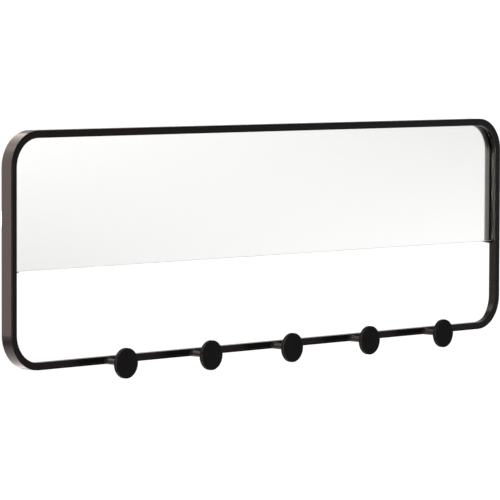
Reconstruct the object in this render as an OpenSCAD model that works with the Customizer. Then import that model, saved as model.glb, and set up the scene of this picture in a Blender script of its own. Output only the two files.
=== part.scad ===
// Wall mirror with hooks: a bent steel frame with a rebate behind its front, a mirror that fills
// the upper part of the frame, an open window below it, and five disc pegs on the lower rail.
// X runs along the wall, Z up, and the front faces -Y. The wall is the plane Y = 0, and the origin
// lies midway between the two keyholes that the frame hangs from.

/* [Frame] */
// Overall width of the frame
frame_w = 950; // [860:10:1200]
// Overall height of the frame
frame_h = 300; // [260:5:420]
// Outer radius of the four bent corners
corner_r = 46; // [38:1:60]
// Thickness of the flat steel band that forms the outside
band_t = 1.6; // [1.2:0.1:2.5]
// Radius on the long edges of the band
band_edge_r = 0.4; // [0.2:0.1:0.6]
// Width of the steel tube inside the band, seen from the front
tube_w = 8; // [7:0.5:12]
// Depth of the steel tube, front to back
tube_d = 9; // [7:0.1:14]
// Wall of the steel tube
tube_wall = 1.2; // [0.9:0.1:1.5]
// Radius on the long edges of the tube
tube_edge_r = 0.7; // [0.4:0.1:1.6]
// Gap left between band and tube for the weld
weld_gap = 0.1; // [0.1:0.05:0.3]
// Diameter of the vent holes in the back of the lower tube
vent_d = 3; // [2:0.5:4]
// Distance of each vent hole from the side of the frame
vent_inset = 110; // [90:5:140]

/* [Mirror] */
// Height of mirror that shows below the upper tube
mirror_show_h = 166; // [130:1:190]
// Thickness of the glass
glass_t = 3; // [2:0.5:5]
// How far the glass reaches behind the tube
glass_overlap = 5; // [3:0.5:6]
// Thickness of the silver and its back paint
silver_t = 0.2; // [0.1:0.05:0.4]
// How far the silver stays back from the glass edge
silver_margin = 0.4; // [0.2:0.1:1]
// Thickness of the foam tapes that bond mirror and board
tape_t = 1; // [0.5:0.1:2]
// Width of each foam tape
tape_w = 19; // [12:1:25]
// Distance of the tape ends and the outer tapes from the glass edge
tape_margin = 24; // [15:1:30]
// Thickness of the backing board
board_t = 5; // [4.6:0.1:8]
// Gap between the board and the band
board_gap = 0.4; // [0.2:0.1:1]

/* [Mirror rests] */
// How far each rest shows beside the tube, under the mirror's lower corner
rest_reach = 12; // [6:1:25]
// Height of the rest at the band
rest_h = 4.8; // [2:0.2:6]
// Height of the rest at its free tip
rest_tip_h = 0.6; // [0.4:0.1:1.5]

/* [Hooks] */
// Distance between neighbouring hooks
hook_pitch = 155; // [100:5:175]
// Height of the hook axis above the lower edge of the frame
hook_rise = 3.4; // [3.2:0.1:5]
// Diameter of the peg
stem_d = 7.5; // [5:0.5:10]
// Length of the peg from the frame to the back of the disc
stem_l = 32; // [20:1:60]
// Leg of the weld fillet at the foot of the peg
fillet_leg = 1.75; // [1:0.25:3]
// Height of the rib on the peg's foot, above the peg
rib_h = 1.6; // [0.8:0.1:1.8]
// How far the rib runs out along the peg
rib_l = 10; // [5:1:20]
// Thickness of the rib
rib_t = 2; // [1:0.5:3]
// How deep the rib's free end sinks into the peg
rib_sink = 0.05; // [0.03:0.01:0.2]
// Diameter of the locating spigots at both ends of the peg
spigot_d = 2.6; // [2:0.2:2.8]
// Depth of the spigot in the disc
disc_spigot_l = 2.4; // [1:0.2:3]
// Gap all round between a spigot and its hole
spigot_gap = 0.05; // [0.03:0.01:0.1]
// Diameter of the disc
disc_d = 39; // [25:1:60]
// Thickness of the disc
disc_t = 5; // [3.4:0.2:8]
// Radius on the edges of the disc
disc_edge_r = 0.8; // [0.3:0.1:1.5]

/* [Rear plates] */
// Thickness of the hanger plates and board tabs
plate_t = 1.5; // [1.4:0.1:3]
// How far the plates stay back from the outside of the band
plate_setback = 0.3; // [0.1:0.1:0.6]
// Corner radius of the plates
plate_corner_r = 2; // [1:0.5:3]
// Distance of each keyhole from the side of the frame
hanger_inset = 155; // [120:5:170]
// Depth of each keyhole below the top of the frame
hanger_drop = 24; // [22:1:40]
// Width of a hanger plate
hanger_w = 46; // [40:1:60]
// Hanger plate below the centre of the keyhole's round end
hanger_below = 12; // [8:1:20]
// Diameter of the keyhole's round end, which the wall screw's head passes
key_d = 9; // [8:0.5:11]
// Width of the keyhole's slot, which holds the wall screw's shank
key_slot_w = 4.6; // [4:0.2:6]
// Rise from the keyhole's round end to the end of its slot
key_rise = 9; // [7:0.5:10]
// Room in the board all round the keyhole for the screw's head
pocket_margin = 2; // [1:0.5:3]
// Depth of that room in the board
pocket_depth = 4.2; // [3:0.2:4.4]
// Distance between the two screws of a hanger plate
hanger_screw_span = 32; // [27:1:34]
// Height of those screws below the keyhole's round end
hanger_screw_drop = 3; // [0:0.5:5]
// Distance between the board tabs on the upper rail
tab_pitch = 160; // [80:5:170]
// Distance of the side tabs below the top of the frame
side_tab_drop = 110; // [90:5:125]
// Width of a board tab along the rail
tab_w = 20; // [14:1:30]
// Length of a board tab across the rail
tab_l = 14; // [12:1:20]
// Distance of the tab's screw from the tab's outer end
tab_screw_in = 8.5; // [7:0.5:9]

/* [Board screws] */
// Diameter of the screw shank
screw_d = 3; // [2.5:0.1:3.5]
// Diameter of the countersunk screw head
screw_head_d = 5.6; // [5:0.1:6.4]
// Height of the screw head
screw_head_h = 1.3; // [1:0.1:1.4]
// Length of the screw from the face of its head
screw_l = 5; // [4:0.1:5.6]
// Gap all round the screw
screw_gap = 0.1; // [0.05:0.05:0.2]
// Width of the cross recess arms
recess_w = 0.7; // [0.4:0.1:1]
// Length of the cross recess, tip to tip
recess_l = 3; // [2:0.1:3.6]
// Depth of the cross recess
recess_depth = 0.7; // [0.4:0.1:0.9]

/* [Bumpers] */
// Diameter of each rubber bumper
bumper_d = 6; // [4:0.5:6.5]
// Distance of each bumper from the side of the frame
bumper_inset = 70; // [60:5:85]
// Gap between a bumper and the band
bumper_gap = 0.3; // [0.2:0.1:0.8]
// Chamfer on the wall end of a bumper
bumper_chamfer = 0.8; // [0.3:0.1:1.2]

/* [Hidden] */
$fn = 96;

hook_count = 5;
top_tab_count = 3;
tape_count = 3;
left = -1;
right = 1;
cut = 1;                         // how far a cutter runs past the face that it opens

// The frame is drawn lying on its back: X along the wall, Y up the wall, Z out from the wall.
top_y = hanger_drop;
bottom_y = top_y - frame_h;
middle_y = (top_y + bottom_y) / 2;
band_d = tube_d + glass_t + silver_t + tape_t + board_t;
rear_z = plate_t;
front_z = rear_z + band_d;
ledge_z = front_z - tube_d;      // back of the tube, which the glass lies on
silver_z = ledge_z - glass_t - silver_t;
board_z = rear_z + board_t;      // front of the board
tube_inset = band_t + weld_gap;
window_inset = tube_inset + tube_w;
glass_inset = window_inset - glass_overlap;
board_inset = band_t + board_gap;
mirror_bottom_y = top_y - window_inset - mirror_show_h;
mirror_top_y = top_y - glass_inset;
hook_y = bottom_y + hook_rise;
hanger_x = frame_w / 2 - hanger_inset;
hanger_top_y = top_y - plate_setback;
tab_hole_in = plate_setback + tab_screw_in;
frame_black = [0.10, 0.085, 0.082];
disc_black = [0.07, 0.066, 0.066];
stem_bronze = [0.30, 0.27, 0.25];
glass_tint = [0.80, 0.90, 0.88, 0.45];
silver_grey = [0.86, 0.87, 0.88];
board_brown = [0.55, 0.42, 0.29];
tape_white = [0.90, 0.90, 0.87];
zinc_grey = [0.66, 0.67, 0.69];
rubber_black = [0.05, 0.05, 0.05];

function hook_x(i) = (i - (hook_count + 1) / 2) * hook_pitch;
function top_tab_x(i) = (i - (top_tab_count - 1) / 2) * tab_pitch;

// Stands the lying drawing up against the wall
module stand() {
    rotate([90, 0, 0]) children();
}

module soft_rect(w, h, r) {
    translate([r, 0]) square([w - 2 * r, h]);
    translate([0, r]) square([w, h - 2 * r]);
    for (x = [r, w - r], y = [r, h - r]) translate([x, y]) circle(r);
}

// The frame's outline, drawn in by inset all round
module frame_outline(inset) {
    w = frame_w - 2 * inset;
    h = frame_h - 2 * inset;
    translate([-w / 2, middle_y - h / 2]) soft_rect(w, h, corner_r - inset);
}

// The same outline, cut off straight at the mirror's lower edge
module mirror_outline(inset) {
    intersection() {
        frame_outline(inset);
        translate([-frame_w / 2, mirror_bottom_y]) square([frame_w, frame_h]);
    }
}

// Sweeps a profile round the frame. The profile's X is counted from the bend's centre outwards.
module swept_frame() {
    for (side = [0:3]) {
        across = side % 2 == 0 ? frame_w : frame_h;
        along = (side % 2 == 0 ? frame_h : frame_w) - 2 * corner_r;
        translate([0, middle_y, 0]) rotate([0, 0, 90 * side]) translate([across / 2 - corner_r, 0, 0]) {
            translate([0, along / 2, 0]) rotate([90, 0, 0]) linear_extrude(along) children();
            translate([0, along / 2, 0]) rotate_extrude(angle = 90) children();
        }
    }
}

module outer_band() {
    color(frame_black) stand() swept_frame()
        translate([corner_r - band_t, rear_z]) soft_rect(band_t, band_d, band_edge_r);
}

module tube_profile() {
    translate([corner_r - window_inset, ledge_z]) difference() {
        soft_rect(tube_w, tube_d, tube_edge_r);
        translate([tube_wall, tube_wall]) square([tube_w - 2 * tube_wall, tube_d - 2 * tube_wall]);
    }
}

module inner_tube() {
    color(frame_black) stand() difference() {
        swept_frame() tube_profile();
        for (i = [1:hook_count])
            translate([hook_x(i), hook_y, front_z - tube_wall])
                cylinder(h = tube_wall + cut, d = spigot_d + 2 * spigot_gap);
        for (side = [left, right])
            translate([side * (frame_w / 2 - vent_inset), bottom_y + tube_inset + tube_w / 2, ledge_z - cut])
                cylinder(h = tube_wall + 2 * cut, d = vent_d);
    }
}

// A wedge on the back of the tube that carries the mirror's lower corner
module mirror_rest(side) {
    length = tube_w + weld_gap + rest_reach;
    color(frame_black) stand() mirror([side == left ? 1 : 0, 0, 0])
        translate([frame_w / 2 - band_t, mirror_bottom_y, rear_z]) linear_extrude(ledge_z - rear_z)
            polygon([[0, 0], [-length, 0], [-length, -rest_tip_h], [0, -rest_h]]);
}

module mirror_glass() {
    color(glass_tint) stand() translate([0, 0, ledge_z - glass_t])
        linear_extrude(glass_t) mirror_outline(glass_inset);
}

module mirror_silver() {
    color(silver_grey) stand() translate([0, 0, silver_z]) linear_extrude(silver_t) intersection() {
        mirror_outline(glass_inset + silver_margin);
        translate([-frame_w / 2, mirror_bottom_y + silver_margin]) square([frame_w, frame_h]);
    }
}

module foam_tapes() {
    length = frame_w - 2 * (glass_inset + corner_r);
    low = mirror_bottom_y + tape_margin;
    high = mirror_top_y - tape_margin - tape_w;
    color(tape_white) stand() for (i = [0:tape_count - 1])
        translate([-length / 2, low + i * (high - low) / (tape_count - 1), board_z])
            cube([length, tape_w, tape_t]);
}

// A keyhole's outline, with a round end below and a slot that rises from it
module keyhole(round_d, slot_w) {
    circle(d = round_d);
    translate([0, key_rise]) circle(d = slot_w);
    translate([-slot_w / 2, 0]) square([slot_w, key_rise]);
}

// Places its children at every screw that holds the board tabs
module at_tab_screws() {
    for (i = [0:top_tab_count - 1]) translate([top_tab_x(i), top_y - tab_hole_in, 0]) children();
    for (side = [left, right])
        translate([side * (frame_w / 2 - tab_hole_in), top_y - side_tab_drop, 0]) children();
}

// Places its children at the two screws of the hanger plate on that side
module at_hanger_screws(side) {
    for (step = [left, right])
        translate([side * hanger_x + step * hanger_screw_span / 2, -hanger_screw_drop, 0]) children();
}

module back_board() {
    pocket_w = key_d + 2 * pocket_margin;
    color(board_brown) stand() difference() {
        translate([0, 0, rear_z]) linear_extrude(board_t) mirror_outline(board_inset);
        for (side = [left, right]) {
            translate([side * hanger_x, 0, rear_z - cut]) linear_extrude(pocket_depth + cut)
                keyhole(pocket_w, pocket_w);
            at_hanger_screws(side) screw_hole();
        }
        at_tab_screws() screw_hole();
    }
}

// The hole that a board screw needs in its plate and in the board
module screw_hole() {
    translate([0, 0, -cut]) cylinder(h = screw_l + screw_gap + cut, d = screw_d + 2 * screw_gap);
    translate([0, 0, -cut]) cylinder(h = cut, d = screw_head_d + 2 * screw_gap);
    cylinder(h = screw_head_h, d1 = screw_head_d + 2 * screw_gap, d2 = screw_d + 2 * screw_gap);
}

module board_screw() {
    color(zinc_grey) difference() {
        union() {
            cylinder(h = screw_head_h, d1 = screw_head_d, d2 = screw_d);
            cylinder(h = screw_l, d = screw_d);
        }
        for (turn = [0, 90]) rotate([0, 0, turn])
            translate([-recess_l / 2, -recess_w / 2, -cut]) cube([recess_l, recess_w, recess_depth + cut]);
    }
}

// One board tab, with its outer end at Y = 0 and its screw hole at the origin's X
module board_tab() {
    difference() {
        translate([-tab_w / 2, -tab_l, 0]) linear_extrude(plate_t) soft_rect(tab_w, tab_l, plate_corner_r);
        translate([0, -tab_screw_in, 0]) screw_hole();
    }
}

module board_tabs() {
    color(zinc_grey) stand() {
        for (i = [0:top_tab_count - 1]) translate([top_tab_x(i), hanger_top_y, 0]) board_tab();
        for (side = [left, right])
            translate([side * (frame_w / 2 - plate_setback), top_y - side_tab_drop, 0])
                rotate([0, 0, -90 * side]) board_tab();
    }
}

module tab_screws() {
    stand() at_tab_screws() board_screw();
}

module hanger_plate(side) {
    color(zinc_grey) stand() difference() {
        translate([side * hanger_x - hanger_w / 2, -hanger_below, 0])
            linear_extrude(plate_t) soft_rect(hanger_w, hanger_top_y + hanger_below, plate_corner_r);
        translate([side * hanger_x, 0, -cut]) linear_extrude(plate_t + 2 * cut)
            keyhole(key_d, key_slot_w);
        at_hanger_screws(side) screw_hole();
    }
}

module hanger_screws() {
    stand() for (side = [left, right]) at_hanger_screws(side) board_screw();
}

// A rubber post on the back of the lower tube that keeps the frame off the wall
module bumper(side) {
    x = side * (frame_w / 2 - bumper_inset);
    y = bottom_y + band_t + bumper_gap + bumper_d / 2;
    color(rubber_black) stand() translate([x, y, 0]) {
        cylinder(h = bumper_chamfer, d1 = bumper_d - 2 * bumper_chamfer, d2 = bumper_d);
        translate([0, 0, bumper_chamfer]) cylinder(h = ledge_z - bumper_chamfer, d = bumper_d);
    }
}

// The peg with the spigots at both its ends
module peg_profile() {
    square([stem_d / 2, stem_l]);
    translate([0, -tube_wall]) square([spigot_d / 2, stem_l + tube_wall + disc_spigot_l]);
}

module weld_profile() {
    difference() {
        square([stem_d / 2 + fillet_leg, fillet_leg]);
        translate([stem_d / 2 + fillet_leg, fillet_leg]) circle(fillet_leg);
    }
}

// The small rib that stiffens the peg's foot, on top of the peg
module peg_rib() {
    peg_r = stem_d / 2;
    tip_y = sqrt(pow(peg_r, 2) - pow(rib_t / 2, 2)) - rib_sink;
    translate([rib_t / 2, 0, 0]) rotate([0, -90, 0]) linear_extrude(rib_t)
        polygon([[0, 0], [0, peg_r + rib_h], [rib_l, tip_y], [rib_l, 0]]);
}

// A peg, whose weld runs only where the flat front of the frame lies under it
module hook_stem(i) {
    weld_r = stem_d / 2 + fillet_leg;
    weld_drop = hook_rise - band_edge_r;
    color(stem_bronze) stand() translate([hook_x(i), hook_y, front_z]) {
        rotate_extrude() peg_profile();
        peg_rib();
        intersection() {
            rotate_extrude() weld_profile();
            translate([-weld_r, -weld_drop, 0]) cube([2 * weld_r, weld_drop + weld_r, fillet_leg]);
        }
    }
}

module disc_profile() {
    difference() {
        union() {
            square([disc_d / 2 - disc_edge_r, disc_t]);
            translate([0, disc_edge_r]) square([disc_d / 2, disc_t - 2 * disc_edge_r]);
            for (y = [disc_edge_r, disc_t - disc_edge_r])
                translate([disc_d / 2 - disc_edge_r, y]) circle(disc_edge_r);
        }
        translate([0, -cut]) square([spigot_d / 2 + spigot_gap, disc_spigot_l + spigot_gap + cut]);
    }
}

module hook_disc(i) {
    color(disc_black) stand() translate([hook_x(i), hook_y, front_z + stem_l]) rotate_extrude() disc_profile();
}

outer_band();
inner_tube();
mirror_rest(left);  // mirror_rest_left
mirror_rest(right);  // mirror_rest_right
mirror_glass();
mirror_silver();
foam_tapes();
back_board();
board_tabs();
tab_screws();
hanger_plate(left);  // hanger_plate_left
hanger_plate(right);  // hanger_plate_right
hanger_screws();
bumper(left);  // bumper_left
bumper(right);  // bumper_right
hook_stem(1);  // hook_stem_1
hook_stem(2);  // hook_stem_2
hook_stem(3);  // hook_stem_3
hook_stem(4);  // hook_stem_4
hook_stem(5);  // hook_stem_5
hook_disc(1);  // hook_disc_1
hook_disc(2);  // hook_disc_2
hook_disc(3);  // hook_disc_3
hook_disc(4);  // hook_disc_4
hook_disc(5);  // hook_disc_5
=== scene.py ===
# Wide wall mirror in a bent steel frame: an open window under the glass, five disc pegs on the lower rail.
# Looks only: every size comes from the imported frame, in metres, with X right, Y into the wall and Z up.
import math

import bmesh
import bpy
from mathutils import Matrix, Vector, noise


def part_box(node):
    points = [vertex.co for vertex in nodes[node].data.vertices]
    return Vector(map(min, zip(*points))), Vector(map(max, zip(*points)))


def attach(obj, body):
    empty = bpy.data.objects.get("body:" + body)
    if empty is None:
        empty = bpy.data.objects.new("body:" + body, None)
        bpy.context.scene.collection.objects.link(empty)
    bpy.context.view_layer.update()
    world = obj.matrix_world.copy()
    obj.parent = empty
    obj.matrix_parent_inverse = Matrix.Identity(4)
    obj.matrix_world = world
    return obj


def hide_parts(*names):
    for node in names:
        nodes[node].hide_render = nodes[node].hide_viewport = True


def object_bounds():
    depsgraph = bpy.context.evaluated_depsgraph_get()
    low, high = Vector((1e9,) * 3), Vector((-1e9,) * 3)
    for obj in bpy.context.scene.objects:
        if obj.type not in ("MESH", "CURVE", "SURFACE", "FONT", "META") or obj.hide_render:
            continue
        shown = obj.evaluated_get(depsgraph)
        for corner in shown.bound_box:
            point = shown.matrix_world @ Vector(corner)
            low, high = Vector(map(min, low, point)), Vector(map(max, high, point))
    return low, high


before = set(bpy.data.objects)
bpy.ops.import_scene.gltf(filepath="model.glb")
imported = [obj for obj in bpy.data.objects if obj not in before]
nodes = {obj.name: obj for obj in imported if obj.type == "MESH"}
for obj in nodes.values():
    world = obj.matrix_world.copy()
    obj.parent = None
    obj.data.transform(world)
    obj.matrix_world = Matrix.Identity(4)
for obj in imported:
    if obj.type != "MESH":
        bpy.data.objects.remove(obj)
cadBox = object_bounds()
scene = bpy.context.scene
mm = 0.001
hooks = range(1, 6)
print("frame loaded:", len(nodes), "nodes")

bandLow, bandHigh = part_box("outer_band")
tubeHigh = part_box("inner_tube")[1]
glassLow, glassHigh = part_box("mirror_glass")
frontY = bandLow.y
tubeBackY = tubeHigh.y
middle = (bandLow + bandHigh) / 2


def linear(hexCode):
    # sRGB hex to the linear colour that a shader takes
    parts = [int(hexCode[i:i + 2], 16) / 255 for i in (1, 3, 5)]
    return [c / 12.92 if c <= 0.04045 else ((c + 0.055) / 1.055) ** 2.4 for c in parts] + [1.0]


def addNode(tree, kind, settings=None, links=None):
    # keys are socket names or numbers, and what isn't a socket is a property; hex text is a colour
    made = tree.nodes.new(kind)
    for key, value in (settings or {}).items():
        if isinstance(value, str) and value.startswith("#"):
            value = linear(value)
        if isinstance(key, int) or key in made.inputs:
            made.inputs[key].default_value = value
        else:
            setattr(made, key, value)
    for key, source in (links or {}).items():
        tree.links.new(source, made.inputs[key])
    return made


def startMaterial(name, look):
    # the shader's plain values, some of which a pattern replaces later, and object coordinates in metres
    made = bpy.data.materials.new(name)
    made.use_nodes = True
    tree = made.node_tree
    shader = tree.nodes["Principled BSDF"]
    for key, value in look.items():
        shader.inputs[key].default_value = linear(value) if isinstance(value, str) else value
    place = addNode(tree, "ShaderNodeTexCoord").outputs["Object"]
    return made, tree, shader, place


def finishMaterial(tree, shader, colour=None, roughness=None, height=None, bump=None):
    if colour:
        tree.links.new(colour, shader.inputs["Base Color"])
    if roughness:
        tree.links.new(roughness, shader.inputs["Roughness"])
    if height:
        depth, strength = bump
        raised = addNode(tree, "ShaderNodeBump", {"Strength": strength, "Distance": depth}, {"Height": height})
        tree.links.new(raised.outputs["Normal"], shader.inputs["Normal"])


# flat and corner: how alike the true and the rounded normal are on a face and on a full edge
wearLook = {"samples": 6, "flat": 0.99, "corner": 0.86, "fade": 0.1}


def wornEdges(tree, place, reach, patchSize, amount):
    # 0 to 1 where an edge is rubbed: the corner, broken up by patches
    rounded = addNode(tree, "ShaderNodeBevel",
                      {"samples": wearLook["samples"], "Radius": reach}).outputs["Normal"]
    flat = addNode(tree, "ShaderNodeNewGeometry").outputs["Normal"]
    along = addNode(tree, "ShaderNodeVectorMath", {"operation": "DOT_PRODUCT"}, {0: rounded, 1: flat})
    corner = addNode(tree, "ShaderNodeMapRange", {"From Min": wearLook["flat"], "From Max": wearLook["corner"]},
                     {"Value": along.outputs["Value"]})
    patches = addNode(tree, "ShaderNodeTexNoise", {"Scale": 1 / patchSize, "Detail": 4.0}, {"Vector": place})
    rubbed = addNode(tree, "ShaderNodeMapRange",
                     {"From Min": 1 - amount, "From Max": 1 - amount + wearLook["fade"]},
                     {"Value": patches.outputs["Fac"]})
    return addNode(tree, "ShaderNodeMath", {"operation": "MULTIPLY"},
                   {0: corner.outputs["Result"], 1: rubbed.outputs["Result"]}).outputs["Value"]


def dress(material, *names):
    for name in names:
        slots = nodes[name].data.materials
        if slots:
            slots[0] = material
        else:
            slots.append(material)


def addPiece(name, mesh, slot, *materials):
    made = bpy.data.objects.new(name, mesh)
    scene.collection.objects.link(made)
    for material in materials:
        mesh.materials.append(material)
    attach(made, "root")
    return made


# in each look, wear is its reach from an edge, the size of its patches and its amount; bump is its depth and
# strength
powderCoatLook = {"dimple": 2.4 * mm, "cloud": 36 * mm, "nib": 7 * mm, "nibRim": (0.07, 0.03),
                  "dark": "#040303", "light": "#080606", "rubbed": "#2c2523", "glossy": 0.25, "dull": 0.27,
                  "wear": (0.8 * mm, 9 * mm, 0.42), "bump": (0.015 * mm, 0.2)}


def makePowderCoat():
    # satin polyester powder coat, sprayed on bent steel and baked: warm black, a faint orange peel, small
    # nibs of dust under the skin, and rubbed corners
    look = {"Base Color": "#060404", "Roughness": 0.26, "Specular IOR Level": 0.07, "Specular Tint": "#ffe6df"}
    made, tree, shader, place = startMaterial("satinPowderCoat", look)
    peel = addNode(tree, "ShaderNodeTexNoise", {"Scale": 1 / powderCoatLook["dimple"], "Detail": 2.0},
                   {"Vector": place}).outputs["Fac"]
    cloud = addNode(tree, "ShaderNodeTexNoise", {"Scale": 1 / powderCoatLook["cloud"], "Detail": 3.0},
                    {"Vector": place}).outputs["Fac"]
    nibs = addNode(tree, "ShaderNodeTexVoronoi", {"Scale": 1 / powderCoatLook["nib"]}, {"Vector": place})
    outside, inside = powderCoatLook["nibRim"]
    nib = addNode(tree, "ShaderNodeMapRange", {"From Min": outside, "From Max": inside},
                  {"Value": nibs.outputs["Distance"]}).outputs["Result"]
    tone = addNode(tree, "ShaderNodeMix", {"data_type": "RGBA", "A": powderCoatLook["dark"],
                   "B": powderCoatLook["light"]}, {"Factor": cloud}).outputs["Result"]
    rubbed = wornEdges(tree, place, *powderCoatLook["wear"])
    colour = addNode(tree, "ShaderNodeMix", {"data_type": "RGBA", "B": powderCoatLook["rubbed"]},
                     {"Factor": rubbed, "A": tone}).outputs["Result"]
    gloss = addNode(tree, "ShaderNodeMapRange",
                    {"To Min": powderCoatLook["glossy"], "To Max": powderCoatLook["dull"]},
                    {"Value": cloud}).outputs["Result"]
    height = addNode(tree, "ShaderNodeMath", {"operation": "ADD"}, {0: peel, 1: nib}).outputs["Value"]
    finishMaterial(tree, shader, colour, gloss, height, powderCoatLook["bump"])
    return made


# the discs' light rubbed rim colour is partly edge wear and partly a painted highlight along the rim
discCoatLook = {"grain": 0.7 * mm, "cloud": 14 * mm, "dark": "#040304", "light": "#080707",
                "rubbed": "#5e5650", "dull": 0.6, "polished": 0.38, "wear": (1.2 * mm, 5 * mm, 0.62),
                "bump": (0.03 * mm, 0.5)}


def makeDiscCoatWithRimWearAndSheen():
    # matt powder coat on the turned discs: near black and faintly sandy, with a rim that hands have polished;
    # the rim's lighter colour is partly a painted highlight
    look = {"Base Color": "#070607", "Roughness": 0.55, "Specular IOR Level": 0.03}
    made, tree, shader, place = startMaterial("mattPowderCoat", look)
    sand = addNode(tree, "ShaderNodeTexNoise", {"Scale": 1 / discCoatLook["grain"], "Detail": 2.0},
                   {"Vector": place}).outputs["Fac"]
    cloud = addNode(tree, "ShaderNodeTexNoise", {"Scale": 1 / discCoatLook["cloud"], "Detail": 3.0},
                    {"Vector": place}).outputs["Fac"]
    tone = addNode(tree, "ShaderNodeMix", {"data_type": "RGBA", "A": discCoatLook["dark"],
                   "B": discCoatLook["light"]}, {"Factor": cloud}).outputs["Result"]
    rubbed = wornEdges(tree, place, *discCoatLook["wear"])
    # lighter rim colour: edge wear together with a painted highlight
    colour = addNode(tree, "ShaderNodeMix", {"data_type": "RGBA", "B": discCoatLook["rubbed"]},
                     {"Factor": rubbed, "A": tone}).outputs["Result"]
    dull = addNode(tree, "ShaderNodeMapRange",
                   {"To Min": discCoatLook["dull"], "To Max": discCoatLook["polished"]},
                   {"Value": rubbed}).outputs["Result"]
    finishMaterial(tree, shader, colour, dull, sand, discCoatLook["bump"])
    return made


# heat: how far in front of the rail the scorched ring fades out and is full, and how strong it is
lacquerLook = {"line": 0.5 * mm, "lineLength": 25, "bead": 1.6 * mm, "dark": "#120e0c", "light": "#211b17",
               "scorched": "#0d0a09", "heat": (6 * mm, 3 * mm, 0.6), "glossy": 0.16, "dull": 0.34,
               "bump": (0.04 * mm, 0.5)}


def makePegLacquer():
    # thin bronze lacquer over drawn rod and bare weld: glossy and brown black, with drawing lines along the
    # rod and a duller, darker ring where the weld's heat reached
    look = {"Base Color": "#1a1512", "Roughness": 0.25, "Specular IOR Level": 0.03}
    made, tree, shader, place = startMaterial("bronzeLacquer", look)
    drawn = addNode(tree, "ShaderNodeMapping", {"Scale": (1, 1 / lacquerLook["lineLength"], 1)},
                    {"Vector": place}).outputs["Vector"]
    lines = addNode(tree, "ShaderNodeTexNoise", {"Scale": 1 / lacquerLook["line"], "Detail": 2.0},
                    {"Vector": drawn}).outputs["Fac"]
    lumps = addNode(tree, "ShaderNodeTexNoise", {"Scale": 1 / lacquerLook["bead"], "Detail": 3.0},
                    {"Vector": place}).outputs["Fac"]
    tone = addNode(tree, "ShaderNodeMix", {"data_type": "RGBA", "A": lacquerLook["dark"],
                   "B": lacquerLook["light"]}, {"Factor": lumps}).outputs["Result"]
    depth = addNode(tree, "ShaderNodeSeparateXYZ", {}, {"Vector": place}).outputs["Y"]
    cool, hot, most = lacquerLook["heat"]
    heat = addNode(tree, "ShaderNodeMapRange", {"From Min": frontY - cool, "From Max": frontY - hot,
                   "To Max": most}, {"Value": depth}).outputs["Result"]
    colour = addNode(tree, "ShaderNodeMix", {"data_type": "RGBA", "B": lacquerLook["scorched"]},
                     {"Factor": heat, "A": tone}).outputs["Result"]
    gloss = addNode(tree, "ShaderNodeMapRange",
                    {"To Min": lacquerLook["glossy"], "To Max": lacquerLook["dull"]},
                    {"Value": lumps}).outputs["Result"]
    height = addNode(tree, "ShaderNodeMath", {"operation": "ADD"}, {0: lines, 1: lumps}).outputs["Value"]
    finishMaterial(tree, shader, colour, gloss, height, lacquerLook["bump"])
    return made


def makeFloatGlass():
    # clear float glass: a sharp reflection, and nearly no colour of its own at this thickness
    look = {"Base Color": "#fefefe", "Roughness": 0.0, "IOR": 1.52, "Transmission Weight": 1.0}
    return startMaterial("floatGlass", look)[0]


# belt grit drawn four times too coarse, to show
groundGlassLook = {"grit": 0.4 * mm, "glossy": 0.35, "dull": 0.6, "bump": (0.03 * mm, 0.5)}


def makeGroundGlass():
    # the arrised edge of the pane, ground with a fine belt: a pale, frosted line
    look = {"Base Color": "#b4bbb8", "Roughness": 0.5, "IOR": 1.52, "Transmission Weight": 0.35}
    made, tree, shader, place = startMaterial("groundGlassEdge", look)
    scratches = addNode(tree, "ShaderNodeTexNoise", {"Scale": 1 / groundGlassLook["grit"], "Detail": 3.0},
                        {"Vector": place}).outputs["Fac"]
    dull = addNode(tree, "ShaderNodeMapRange",
                   {"To Min": groundGlassLook["glossy"], "To Max": groundGlassLook["dull"]},
                   {"Value": scratches}).outputs["Result"]
    finishMaterial(tree, shader, None, dull, scratches, groundGlassLook["bump"])
    return made


# the paint starts this far behind the back of the glass
silverLook = {"silver": "#f5f5f4", "paintStart": 0.06 * mm, "brush": 3 * mm, "dark": "#5e6164",
              "light": "#74777a", "dull": 0.55}


def makeSilvering():
    # wet silvering on the back of the glass: a neutral, sharp mirror in front, grey protective paint behind
    look = {"Base Color": silverLook["silver"], "Roughness": 0.0, "Metallic": 1.0}
    made, tree, shader, place = startMaterial("mirrorSilvering", look)
    depth = addNode(tree, "ShaderNodeSeparateXYZ", {}, {"Vector": place}).outputs["Y"]
    painted = addNode(tree, "ShaderNodeMath",
                      {"operation": "GREATER_THAN", 1: glassHigh.y + silverLook["paintStart"]},
                      {0: depth}).outputs["Value"]
    brushed = addNode(tree, "ShaderNodeTexNoise", {"Scale": 1 / silverLook["brush"], "Detail": 4.0},
                      {"Vector": place}).outputs["Fac"]
    grey = addNode(tree, "ShaderNodeMix", {"data_type": "RGBA", "A": silverLook["dark"],
                   "B": silverLook["light"]}, {"Factor": brushed}).outputs["Result"]
    colour = addNode(tree, "ShaderNodeMix", {"data_type": "RGBA", "A": silverLook["silver"]},
                     {"Factor": painted, "B": grey}).outputs["Result"]
    metal = addNode(tree, "ShaderNodeMath", {"operation": "SUBTRACT", 0: 1.0}, {1: painted}).outputs["Value"]
    tree.links.new(metal, shader.inputs["Metallic"])
    dull = addNode(tree, "ShaderNodeMath", {"operation": "MULTIPLY", 1: silverLook["dull"]},
                   {0: painted}).outputs["Value"]
    finishMaterial(tree, shader, colour, dull)
    return made


# turns: the way that each set of fibres lies, in radians; fibres and specks are drawn thicker than real, to
# show
boardLook = {"fibre": 0.5 * mm, "fibreLength": 8, "turns": (0.3, 1.35, 2.4), "fibreRim": (0.45, 0.75),
             "cloud": 30 * mm, "cloudShare": 0.35, "bark": 9 * mm, "barkRim": (0.1, 0.05),
             "dark": "#47352a", "light": "#75604a", "speck": "#2c211a", "bump": (0.15 * mm, 0.6)}


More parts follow.
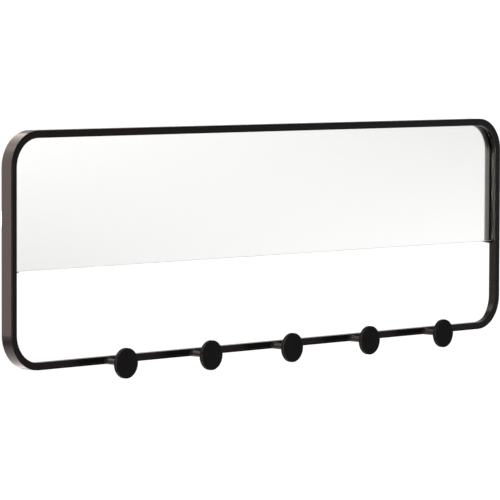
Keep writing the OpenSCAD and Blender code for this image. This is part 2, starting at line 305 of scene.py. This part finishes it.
def makeFibreboard():
    # raw hardboard, pressed from wood fibre: warm brown, short crossing fibres, darker specks of bark
    look = {"Base Color": "#6b5743", "Roughness": 0.8, "Specular IOR Level": 0.3}
    made, tree, shader, place = startMaterial("pressedFibreboard", look)
    fibres = None
    for turn in boardLook["turns"]:
        laid = addNode(tree, "ShaderNodeMapping",
                       {"Rotation": (0, turn, 0), "Scale": (1 / boardLook["fibreLength"], 1, 1)},
                       {"Vector": place}).outputs["Vector"]
        ridge = addNode(tree, "ShaderNodeTexNoise", {"Scale": 1 / boardLook["fibre"], "Detail": 2.0},
                        {"Vector": laid}).outputs["Fac"]
        if fibres:
            ridge = addNode(tree, "ShaderNodeMath", {"operation": "MAXIMUM"},
                            {0: fibres, 1: ridge}).outputs["Value"]
        fibres = ridge
    low, high = boardLook["fibreRim"]
    shown = addNode(tree, "ShaderNodeMapRange", {"From Min": low, "From Max": high},
                    {"Value": fibres}).outputs["Result"]
    tone = addNode(tree, "ShaderNodeMix", {"data_type": "RGBA", "A": boardLook["dark"],
                   "B": boardLook["light"]}, {"Factor": shown}).outputs["Result"]
    cloud = addNode(tree, "ShaderNodeTexNoise", {"Scale": 1 / boardLook["cloud"], "Detail": 4.0},
                    {"Vector": place}).outputs["Fac"]
    patchy = addNode(tree, "ShaderNodeMix",
                     {"data_type": "RGBA", "blend_type": "OVERLAY", "Factor": boardLook["cloudShare"]},
                     {"A": tone, "B": cloud}).outputs["Result"]
    bark = addNode(tree, "ShaderNodeTexVoronoi", {"Scale": 1 / boardLook["bark"]},
                   {"Vector": place}).outputs["Distance"]
    outside, inside = boardLook["barkRim"]
    speck = addNode(tree, "ShaderNodeMapRange", {"From Min": outside, "From Max": inside},
                    {"Value": bark}).outputs["Result"]
    colour = addNode(tree, "ShaderNodeMix", {"data_type": "RGBA", "B": boardLook["speck"]},
                     {"Factor": speck, "A": patchy}).outputs["Result"]
    finishMaterial(tree, shader, colour, None, fibres, boardLook["bump"])
    return made


foamLook = {"cell": 0.5 * mm, "dark": "#cfcdc4", "light": "#efeee9", "bump": (0.1 * mm, 0.6)}


def makeFoamTape():
    # white polyethylene foam tape: soft, with small closed cells along its cut edges
    look = {"Base Color": "#e4e3dc", "Roughness": 0.8, "Subsurface Weight": 0.1, "Subsurface Scale": 0.001}
    made, tree, shader, place = startMaterial("polyetheneFoamTape", look)
    cells = addNode(tree, "ShaderNodeTexVoronoi", {"Scale": 1 / foamLook["cell"]},
                    {"Vector": place}).outputs["Distance"]
    colour = addNode(tree, "ShaderNodeMix", {"data_type": "RGBA", "A": foamLook["dark"],
                     "B": foamLook["light"]}, {"Factor": cells}).outputs["Result"]
    finishMaterial(tree, shader, colour, None, cells, foamLook["bump"])
    return made


zincLook = {"line": 0.6 * mm, "lineLength": 30, "cloud": 11 * mm, "dark": "#868c92", "light": "#b3b6b6",
            "rubbed": "#c9cac8", "glossy": 0.28, "dull": 0.44, "wear": (0.5 * mm, 3 * mm, 0.7),
            "bump": (0.02 * mm, 0.5)}


def makeZincPlate(name, lineLength):
    # bright zinc on cold rolled steel, stamped: silvery with a blue cast, rolling lines and shinier sheared
    # edges
    look = {"Base Color": "#b9bcc0", "Roughness": 0.35, "Metallic": 1.0}
    made, tree, shader, place = startMaterial(name, look)
    rolled = addNode(tree, "ShaderNodeMapping", {"Scale": (1 / lineLength, 1, 1)},
                     {"Vector": place}).outputs["Vector"]
    lines = addNode(tree, "ShaderNodeTexNoise", {"Scale": 1 / zincLook["line"], "Detail": 3.0},
                    {"Vector": rolled}).outputs["Fac"]
    cloud = addNode(tree, "ShaderNodeTexNoise", {"Scale": 1 / zincLook["cloud"], "Detail": 4.0},
                    {"Vector": place}).outputs["Fac"]
    tone = addNode(tree, "ShaderNodeMix", {"data_type": "RGBA", "A": zincLook["dark"], "B": zincLook["light"]},
                   {"Factor": cloud}).outputs["Result"]
    rubbed = wornEdges(tree, place, *zincLook["wear"])
    colour = addNode(tree, "ShaderNodeMix", {"data_type": "RGBA", "B": zincLook["rubbed"]},
                     {"Factor": rubbed, "A": tone}).outputs["Result"]
    gloss = addNode(tree, "ShaderNodeMapRange", {"To Min": zincLook["glossy"], "To Max": zincLook["dull"]},
                    {"Value": cloud}).outputs["Result"]
    finishMaterial(tree, shader, colour, gloss, lines, zincLook["bump"])
    return made


rubberLook = {"grain": 0.4 * mm, "dust": 3 * mm, "dark": "#141415", "light": "#2b2a29",
              "bump": (0.05 * mm, 0.6)}


def makeRubber():
    # moulded rubber: dull dark grey with a fine spark-eroded texture and a little dust
    look = {"Base Color": "#1a1a1b", "Roughness": 0.75, "Specular IOR Level": 0.4}
    made, tree, shader, place = startMaterial("mouldedRubber", look)
    grain = addNode(tree, "ShaderNodeTexNoise", {"Scale": 1 / rubberLook["grain"], "Detail": 3.0},
                    {"Vector": place}).outputs["Fac"]
    dust = addNode(tree, "ShaderNodeTexNoise", {"Scale": 1 / rubberLook["dust"], "Detail": 4.0},
                   {"Vector": place}).outputs["Fac"]
    colour = addNode(tree, "ShaderNodeMix", {"data_type": "RGBA", "A": rubberLook["dark"],
                     "B": rubberLook["light"]}, {"Factor": dust}).outputs["Result"]
    finishMaterial(tree, shader, colour, None, grain, rubberLook["bump"])
    return made


powderCoat = makePowderCoat()
discCoat = makeDiscCoatWithRimWearAndSheen()
pegLacquer = makePegLacquer()
floatGlass = makeFloatGlass()
groundGlass = makeGroundGlass()
zincPlate = makeZincPlate("brightZincPlate", zincLook["lineLength"])
dress(powderCoat, "outer_band", "inner_tube", "mirror_rest_left", "mirror_rest_right")
dress(discCoat, *[f"hook_disc_{i}" for i in hooks])
dress(pegLacquer, *[f"hook_stem_{i}" for i in hooks])
dress(makeSilvering(), "mirror_silver")
dress(makeFibreboard(), "back_board")
dress(makeFoamTape(), "foam_tapes")
dress(zincPlate, "board_tabs", "hanger_plate_left", "hanger_plate_right")
dress(makeZincPlate("brightZincScrew", 1), "tab_screws", "hanger_screws")
dress(makeRubber(), "bumper_left", "bumper_right")
print("materials done")


# the air keeps the glass's back off the silver's face; angles in degrees
paneLook = {"arris": 0.35 * mm, "arrisSegments": 2, "air": 0.02 * mm, "weld": 0.001 * mm, "flatAngle": 0.5,
            "edgeAngle": 60, "faceNormal": 0.999}


def makeMirrorPane():
    # the mirror pane is the glass with its edges arrised
    mesh = nodes["mirror_glass"].data.copy()
    mesh.materials.clear()
    form = bmesh.new()
    form.from_mesh(mesh)
    bmesh.ops.remove_doubles(form, verts=form.verts, dist=paneLook["weld"])
    bmesh.ops.dissolve_limit(form, angle_limit=math.radians(paneLook["flatAngle"]), verts=form.verts,
                             edges=form.edges)
    rims = [e for e in form.edges if e.calc_face_angle(0) > math.radians(paneLook["edgeAngle"])]
    bmesh.ops.bevel(form, geom=rims, offset=paneLook["arris"], segments=paneLook["arrisSegments"], profile=0.5,
                    affect="EDGES")
    for face in form.faces:
        face.material_index = 0 if abs(face.normal.y) > paneLook["faceNormal"] else 1
        face.smooth = False
    backY = glassHigh.y - paneLook["air"]
    for vertex in form.verts:
        vertex.co.y = min(vertex.co.y, backY)
    form.to_mesh(mesh)
    form.free()
    mesh.name = "mirror_pane"
    pane = addPiece("mirror_pane", mesh, "glass", floatGlass, groundGlass)
    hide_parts("mirror_glass")


makeMirrorPane()
print("mirror pane done")


# step: between two rings; ripple and swell: the length and height of the bead's scales; end: where it draws in
beadLook = {"step": 0.4 * mm, "ripple": 1.7 * mm, "swell": 0.14, "end": 1.6 * mm, "tip": 0.02, "sides": 12,
            "wobble": 0.08, "wobbleScale": 400}


def sweepBead(form, path, radius, flat=1.0):
    # a rippled tube along a path that lies square to Y, with both ends drawn in
    count = len(path)
    sides = beadLook["sides"]
    run = sum((path[i + 1] - path[i]).length for i in range(count - 1))
    gone = 0.0
    rings = []
    for i, point in enumerate(path):
        if i:
            gone += (point - path[i - 1]).length
        onward = (path[min(i + 1, count - 1)] - path[max(i - 1, 0)]).normalized()
        side = Vector((0, 1, 0)).cross(onward)
        toEnd = min(gone, run - gone) / beadLook["end"]
        drawn = math.sqrt(max(0.0, 1 - (1 - min(toEnd, 1)) ** 2))
        scale = 1 - beadLook["swell"] * abs(math.sin(math.pi * gone / beadLook["ripple"]))
        scale *= 1 + beadLook["wobble"] * noise.noise(point * beadLook["wobbleScale"])
        size = radius * max(drawn * scale, beadLook["tip"])
        ring = []
        for k in range(sides):
            turn = 2 * math.pi * k / sides
            offset = side * math.cos(turn) * size + Vector((0, 1, 0)) * math.sin(turn) * size * flat
            ring.append(form.verts.new(point + offset))
        rings.append(ring)
    for first, second in zip(rings, rings[1:]):
        for k in range(sides):
            after = (k + 1) % sides
            form.faces.new((first[k], first[after], second[after], second[k]))
    form.faces.new(list(reversed(rings[0])))
    form.faces.new(rings[-1])


def finishWelds(name, form, slot, material):
    bmesh.ops.recalc_face_normals(form, faces=form.faces)
    mesh = bpy.data.meshes.new(name)
    form.to_mesh(mesh)
    form.free()
    mesh.shade_smooth()
    addPiece(name, mesh, slot, material)


def straightPath(start, end):
    count = max(2, round((end - start).length / beadLook["step"]))
    return [start.lerp(end, i / count) for i in range(count + 1)]


# lift: of the bead's middle behind the tube; onBars and onStiles: the middle of each stitch, across and up
stitchLook = {"radius": 1.5 * mm, "length": 24 * mm, "inset": 2.3 * mm, "lift": 0.1 * mm,
              "onBars": (-0.39, -0.235, -0.08, 0.08, 0.235, 0.39), "onStiles": (-0.04, -0.126, -0.205)}


def makeFrameWelds():
    # stitch welds in the corner behind the tube, where it meets the band
    form = bmesh.new()
    half = stitchLook["length"] / 2
    radius = stitchLook["radius"]
    y = tubeBackY + stitchLook["lift"]
    top = bandHigh.z - stitchLook["inset"]
    bottom = bandLow.z + stitchLook["inset"]
    for x in stitchLook["onBars"]:
        for z in (top, bottom):
            sweepBead(form, straightPath(Vector((x - half, y, z)), Vector((x + half, y, z))), radius)
    for z in stitchLook["onStiles"]:
        for side in (-1, 1):
            x = side * (bandHigh.x - stitchLook["inset"])
            sweepBead(form, straightPath(Vector((x, y, z - half)), Vector((x, y, z + half))), radius)
    finishWelds("frame_welds", form, "frame_paint", powderCoat)


# from, to and step: the angles that the bead runs round the foot, in degrees; flat squeezes it along the peg
footLook = {"ring": 4.3 * mm, "radius": 1.25 * mm, "flat": 0.9, "proud": 0.5 * mm, "from": -28, "to": 208,
            "step": 4}


def makeFootWelds():
    # the bead round each peg's foot, open below where the rail's lower edge ends
    ring = footLook["ring"]
    for i in hooks:
        low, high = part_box(f"hook_disc_{i}")
        axis = (low + high) / 2
        form = bmesh.new()
        path = []
        for angle in range(footLook["from"], footLook["to"] + 1, footLook["step"]):
            turn = math.radians(angle)
            path.append(Vector((axis.x + ring * math.cos(turn), frontY - footLook["proud"],
                                axis.z + ring * math.sin(turn))))
        sweepBead(form, path, footLook["radius"], footLook["flat"])
        finishWelds(f"hook_weld_{i}", form, "stem_paint", pegLacquer)


makeFrameWelds()
makeFootWelds()
print("welds done")


# the photograph's view: angles in degrees, lengths in metres (the sensor in millimetres), the aim counted from
# the middle of the frame's face
view = {"yaw": 46.56, "pitch": 3.67, "roll": 0.21, "aim": (-0.0458, -0.0161), "distance": 4.62903,
        "focalPixels": 3490.59, "imagePixels": 500, "sensor": 36, "clipEnd": 200}
yaw = math.radians(view["yaw"])
pitch = math.radians(view["pitch"])
ahead = Vector((math.sin(yaw) * math.cos(pitch), math.cos(yaw) * math.cos(pitch), -math.sin(pitch)))
mirrored = Vector((ahead.x, -ahead.y, ahead.z))      # where the mirror looks, seen from the camera


def makeCamera():
    roll = math.radians(view["roll"])
    level = Vector((math.cos(yaw), -math.sin(yaw), 0))
    upright = level.cross(ahead)
    across = math.cos(roll) * level + math.sin(roll) * upright
    up = -math.sin(roll) * level + math.cos(roll) * upright
    aim = Vector((view["aim"][0], frontY, middle.z + view["aim"][1]))
    data = bpy.data.cameras.new("camera")
    data.sensor_width = view["sensor"]
    data.lens = data.sensor_width * view["focalPixels"] / view["imagePixels"]
    data.clip_end = view["clipEnd"]
    camera = bpy.data.objects.new("camera", data)
    turn = Matrix((across, up, -ahead)).transposed().to_4x4()
    camera.matrix_world = Matrix.Translation(aim - ahead * view["distance"]) @ turn
    scene.collection.objects.link(camera)
    scene.camera = camera


floorLook = {"drop": 0.9, "width": 60.0, "colour": "#fbfaf9"}


def makeFloor():
    half = floorLook["width"] / 2
    mesh = bpy.data.meshes.new("floor")
    mesh.from_pydata([(-half, -half, 0), (half, -half, 0), (half, half, 0), (-half, half, 0)], [],
                     [(0, 1, 2, 3)])
    floor = bpy.data.objects.new("floor", mesh)
    floor.location.z = cadBox[0].z - floorLook["drop"]
    scene.collection.objects.link(floor)
    look = {"Base Color": floorLook["colour"], "Roughness": 0.9, "Specular IOR Level": 0.0}
    mesh.materials.append(startMaterial("paleFloor", look)[0])


# the studio's walls: how bright they are beside white, by how far a direction points to the front
worldLook = {"strength": 1.15, "walls": ((0.2, 1.0), (0.6, 0.92), (0.76, 0.92), (1.0, 0.6))}


def makeWorld():
    # white behind the mirror, softly greyer in front of it, so that the glass shows a wall and not a hole
    world = bpy.data.worlds.new("studio")
    scene.world = world
    world.use_nodes = True
    tree = world.node_tree
    place = addNode(tree, "ShaderNodeTexCoord").outputs["Generated"]
    depth = addNode(tree, "ShaderNodeSeparateXYZ", {}, {"Vector": place}).outputs["Y"]
    front = addNode(tree, "ShaderNodeMath", {"operation": "MULTIPLY", 1: -1.0}, {0: depth}).outputs["Value"]
    ramp = addNode(tree, "ShaderNodeValToRGB", {}, {"Fac": front})
    stops = ramp.color_ramp.elements
    for i, (position, tone) in enumerate(worldLook["walls"]):
        stop = stops[i] if i < 2 else stops.new(position)        # a new ramp has two stops
        stop.position = position
        stop.color = (tone, tone, tone, 1)
    background = tree.nodes["Background"]
    background.inputs["Strength"].default_value = worldLook["strength"]
    tree.links.new(ramp.outputs["Color"], background.inputs["Color"])


def turnTo(direction):
    # a panel's own -Z looks along the direction
    return direction.to_track_quat("-Z", "Y").to_matrix().to_4x4()


# each softbox: its middle, what it looks at, its width and height in metres, its brightness beside white, its
# colour
softboxes = {"sideSoftbox": ((-1.15, 0.68, 0.14), (-0.475, 0.0, -0.126), 0.75, 1.25, 12.0, (1.0, 0.88, 0.84)),
             "bendSoftbox": ((-0.435, 0.75, 0.74), (-0.46, 0.0, 0.0), 1.0, 0.7, 9.8, (1.0, 0.94, 0.86)),
             "lowSoftbox": ((-0.45, 0.75, -0.88), (-0.46, 0.0, -0.27), 1.3, 0.5, 4.0, (1.0, 0.92, 0.89)),
             "keySoftbox": ((-1.93, -2.28, -0.2), (0.465, 0.0, -0.1), 0.9, 1.0, 42.0, (0.88, 1.0, 0.95))}


def makeSoftboxes():
    for name, (place, target, width, height, brightness, colour) in softboxes.items():
        data = bpy.data.lights.new(name, "AREA")
        data.shape = "RECTANGLE"
        data.size = width
        data.size_y = height
        data.energy = brightness * math.pi * width * height
        data.color = colour
        lamp = bpy.data.objects.new(name, data)
        lamp.matrix_world = Matrix.Translation(Vector(place)) @ turnTo(Vector(target) - Vector(place))
        lamp.visible_camera = False
        scene.collection.objects.link(lamp)


# a card where the mirror looks: the distance, the corners as metres towards the mirror's right end and up, the
# brightness beside white, and how far it falls to its lower left and upper right corners and rises to the others
cardLook = {"distance": 8.0, "corners": ((-0.91, -0.17), (0.88, -0.052), (0.88, 0.398), (-0.91, 0.343)),
            "brightness": 1.055, "fall": 0.12}


def makeCard():
    turn = turnTo(-mirrored)
    centre = Vector((0, frontY, (glassLow.z + tubeHigh.z) / 2)) + mirrored * cardLook["distance"]
    mesh = bpy.data.meshes.new("whiteCard")
    mesh.from_pydata([(across, up, 0) for across, up in cardLook["corners"]], [], [(0, 1, 2, 3)])
    card = bpy.data.objects.new("whiteCard", mesh)
    card.matrix_world = Matrix.Translation(centre) @ turn
    card.visible_camera = False
    card.visible_diffuse = False
    card.visible_shadow = False
    scene.collection.objects.link(card)
    look = {"Base Color": "#000000", "Roughness": 1.0, "Specular IOR Level": 0.0, "Emission Color": "#ffffff"}
    made, tree, shader, place = startMaterial("whiteCard", look)
    parts = addNode(tree, "ShaderNodeSeparateXYZ", {}, {"Vector": place}).outputs
    first, last = cardLook["corners"][0], cardLook["corners"][2]
    along = addNode(tree, "ShaderNodeMapRange", {"From Min": first[0], "From Max": last[0], "To Min": -1.0},
                    {"Value": parts["X"]}).outputs["Result"]
    height = addNode(tree, "ShaderNodeMapRange", {"From Min": first[1], "From Max": last[1], "To Min": -1.0},
                     {"Value": parts["Y"]}).outputs["Result"]
    skew = addNode(tree, "ShaderNodeMath", {"operation": "MULTIPLY"}, {0: along, 1: height}).outputs["Value"]
    glow = addNode(tree, "ShaderNodeMath", {"operation": "MULTIPLY_ADD", 1: -cardLook["fall"],
                   2: cardLook["brightness"]}, {0: skew}).outputs["Value"]
    tree.links.new(glow, shader.inputs["Emission Strength"])
    mesh.materials.append(made)


makeCamera()
makeFloor()
makeWorld()
makeSoftboxes()
makeCard()
scene.view_settings.view_transform = "Standard"
print("floor, light and camera done")
